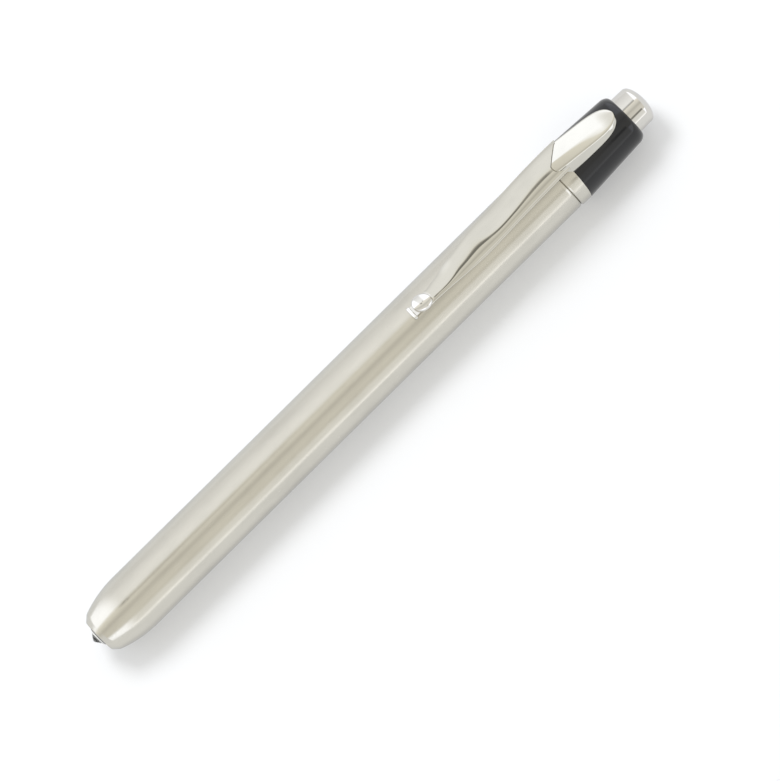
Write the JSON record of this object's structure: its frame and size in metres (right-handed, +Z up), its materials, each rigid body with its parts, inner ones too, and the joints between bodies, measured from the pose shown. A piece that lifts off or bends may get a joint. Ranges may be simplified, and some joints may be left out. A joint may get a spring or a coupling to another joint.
{
  "type": "penlight",
  "caption": "Slim metal penlight with a lens-end bulb in a tapered nose, a black tail collar, a push button and a sprung pocket clip; the tail cap unscrews.",
  "frame": {"origin": "middle of the pen's length and width, at its lowest line when it lies with the clip up", "axes": "+X along the pen towards the push button, +Z up through the clip, +Y across"},
  "size_m": [0.1372, 0.0118, 0.015],
  "materials": {
    "satin_nickel": "satin nickel plate",
    "bright_nickel": "polished nickel plate",
    "black_plastic": "moulded, glossy",
    "chrome": "polished",
    "bulb_glass": "clear lens-end bulb, unlit",
    "bush_nylon": "moulded white nylon",
    "brass": "bare brass",
    "spring_steel": "nickel-plated wire",
    "cell_steel": "bright plated can",
    "cell_jacket": "printed film, left plain",
    "cell_seal": "nylon seal",
    "bulb_insulator": "black glass",
    "tungsten": "drawn wire"
  },
  "bodies": {
    "barrel": {"barrel": "satin_nickel", "lens_bush": "bush_nylon", "bulb_glass": "bulb_glass", "bulb_bead": "bulb_glass", "bulb_leads": "tungsten", "bulb_filament": "tungsten", "bulb_base": "brass", "bulb_insulator": "bulb_insulator", "bulb_contact": "spring_steel", "bulb_socket": "brass", "front_cell_can": "cell_steel", "front_cell_jacket": "cell_jacket", "front_cell_seal": "cell_seal", "front_cell_plate": "cell_steel", "rear_cell_can": "cell_steel", "rear_cell_jacket": "cell_jacket", "rear_cell_seal": "cell_seal", "rear_cell_plate": "cell_steel"},
    "battery_spring": {"battery_spring": "spring_steel"},
    "cap": {"ferrule": "satin_nickel", "switch_insulator": "bush_nylon", "contact_plate": "brass", "clip_band": "satin_nickel", "clip_tongue": "bright_nickel", "collar": "black_plastic", "return_spring": "spring_steel"},
    "clip_arm": {"clip_arm": "bright_nickel"},
    "button": {"push_button": "chrome", "switch_pin": "brass"}
  },
  "joints": [
    {"name": "cap_advance", "type": "slide", "parent": "barrel", "child": "battery_spring", "axis": [1, 0, 0], "range_m": [0, 0.00376]},
    {"name": "cap_turn", "type": "hinge", "parent": "battery_spring", "child": "cap", "pos_m": [0.04757, 0, 0.00587], "axis": [1, 0, 0], "range_deg": [0, 1350]},
    {"name": "clip_flex", "type": "hinge", "parent": "cap", "child": "clip_arm", "pos_m": [0.04832, 0, 0.01502], "axis": [0, 1, 0], "range_deg": [0, 5], "stiffness_Nm_per_rad": 0.3},
    {"name": "button_press", "type": "slide", "parent": "cap", "child": "button", "axis": [-1, 0, 0], "range_m": [0, 0.0013], "stiffness_N_per_m": 800, "deforming": ["return_spring"]}
  ],
  "couplings": [
    {"joint": "cap_advance", "follows": "cap_turn", "m_per_rad": 0.00015915}
  ]
}
